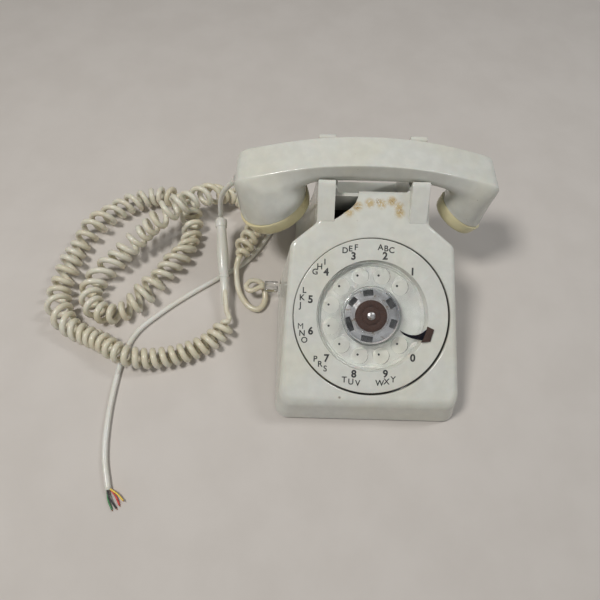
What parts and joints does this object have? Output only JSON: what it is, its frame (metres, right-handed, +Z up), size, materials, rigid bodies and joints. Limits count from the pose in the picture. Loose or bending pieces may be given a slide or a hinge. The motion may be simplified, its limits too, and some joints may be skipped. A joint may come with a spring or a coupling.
{
  "type": "rotary desk telephone",
  "caption": "Rotary desk telephone with a sloping ivory housing, clear finger wheel, handset across the cradle, curly handset cord and a line cord with bare wires.",
  "frame": {"origin": "on the table, under the middle of the box round the telephone without its cords", "axes": "+Z up, +X to the right of a person at the dial, +Y towards the rear"},
  "size_m": [0.4191, 0.3283, 0.1375],
  "materials": {
    "ivory_plastic": "glossy ivory moulding, slightly yellowed",
    "yellowed_plastic": "glossy, yellowed with age",
    "clear_plastic": "clear moulding, lightly scratched",
    "zinc_steel": "plated pressed steel",
    "blued_steel": "dark polished steel, rusty at the end",
    "rusty_steel": "rusty, matt",
    "brass": "satin",
    "copper_coil": "varnished copper winding",
    "black_rubber": "matt",
    "grey_moulding": "matt moulding",
    "cord_cream": "soft vinyl, cream",
    "cord_white": "soft vinyl, off-white",
    "wire_red": "insulated wire",
    "wire_yellow": "insulated wire",
    "wire_green": "insulated wire",
    "wire_black": "insulated wire"
  },
  "bodies": {
    "base": {"housing": "ivory_plastic", "number_plate": "ivory_plastic", "modular_plug": "clear_plastic", "base_plate": "zinc_steel", "dial_frame": "zinc_steel", "ringer_frame": "zinc_steel", "gong_screw_large": "zinc_steel", "gong_screw_small": "zinc_steel", "hook_bracket": "zinc_steel", "housing_screw_front": "zinc_steel", "housing_screw_rear": "zinc_steel", "finger_stop": "blued_steel", "return_spring": "blued_steel", "gong_large": "brass", "gong_small": "brass", "pulse_contacts": "brass", "ringer_coil": "copper_coil", "foot_front_left": "black_rubber", "foot_front_right": "black_rubber", "foot_rear_left": "black_rubber", "foot_rear_right": "black_rubber", "line_grommet": "black_rubber", "network_block": "grey_moulding", "switch_contacts": "grey_moulding", "handset_jack": "grey_moulding", "coil_front": "cord_cream", "coil_left": "cord_cream", "coil_inner": "cord_cream", "coil_back": "cord_cream", "end_lead": "cord_white", "line_cord": "cord_white", "wire_red": "wire_red", "wire_yellow": "wire_yellow", "wire_green": "wire_green", "wire_black": "wire_black"},
    "handset": {"handset_shell": "ivory_plastic", "transmitter_cap": "yellowed_plastic", "receiver_cap": "yellowed_plastic", "transmitter_unit": "zinc_steel", "receiver_unit": "zinc_steel", "cord_outlet": "ivory_plastic", "lead_upper": "cord_white", "inline_sleeve": "cord_white", "lead_lower": "cord_white"},
    "dial_rotor": {"finger_wheel": "clear_plastic", "hub_window": "clear_plastic", "retainer_plate": "zinc_steel", "centre_disc": "rusty_steel", "centre_screw": "zinc_steel", "dial_shaft": "zinc_steel", "main_gear": "brass"},
    "governor_rotor": {"pinion": "brass", "governor": "brass"},
    "plungers": {"plunger_left": "clear_plastic", "plunger_right": "clear_plastic"},
    "hook": {"hook_lever": "zinc_steel"},
    "clapper_arm": {"clapper": "zinc_steel"},
    "volume_dial": {"volume_wheel": "grey_moulding"}
  },
  "joints": [
    {"name": "handset_lift", "type": "slide", "parent": "base", "child": "handset", "axis": [0, 0, 1], "range_m": [0, 0.09]},
    {"name": "plunger_rise", "type": "slide", "parent": "base", "child": "plungers", "axis": [0, 0, 1], "range_m": [0, 0.007]},
    {"name": "hook_tilt", "type": "hinge", "parent": "base", "child": "hook", "pos_m": [0.006, 0.06, 0.042], "axis": [1, 0, 0], "range_deg": [0, 18]},
    {"name": "dial_turn", "type": "hinge", "parent": "base", "child": "dial_rotor", "pos_m": [0.006, -0.0381, 0.0644], "axis": [0, -0.454, 0.891], "range_deg": [-330, 0], "stiffness_Nm_per_rad": 0.012, "springref_deg": 114.59},
    {"name": "governor_spin", "type": "hinge", "parent": "base", "child": "governor_rotor", "pos_m": [0.0319, -0.0381, 0.0644], "axis": [0, -0.454, 0.891], "range_deg": [0, 2017]},
    {"name": "clapper_swing", "type": "hinge", "parent": "base", "child": "clapper_arm", "pos_m": [-0.0069, -0.016, 0.014], "axis": [0, 0, 1], "range_deg": [-3, 3], "stiffness_Nm_per_rad": 0.005},
    {"name": "volume_turn", "type": "hinge", "parent": "base", "child": "volume_dial", "pos_m": [0.066, -0.03, 0.0024], "axis": [0, 0, 1], "range_deg": [0, 120]}
  ],
  "couplings": [
    {"joint": "plunger_rise", "follows": "handset_lift", "ratio": 0.077777},
    {"joint": "hook_tilt", "follows": "handset_lift", "rad_per_m": 3.3937},
    {"joint": "governor_spin", "follows": "dial_turn", "ratio": -6.1111}
  ]
}
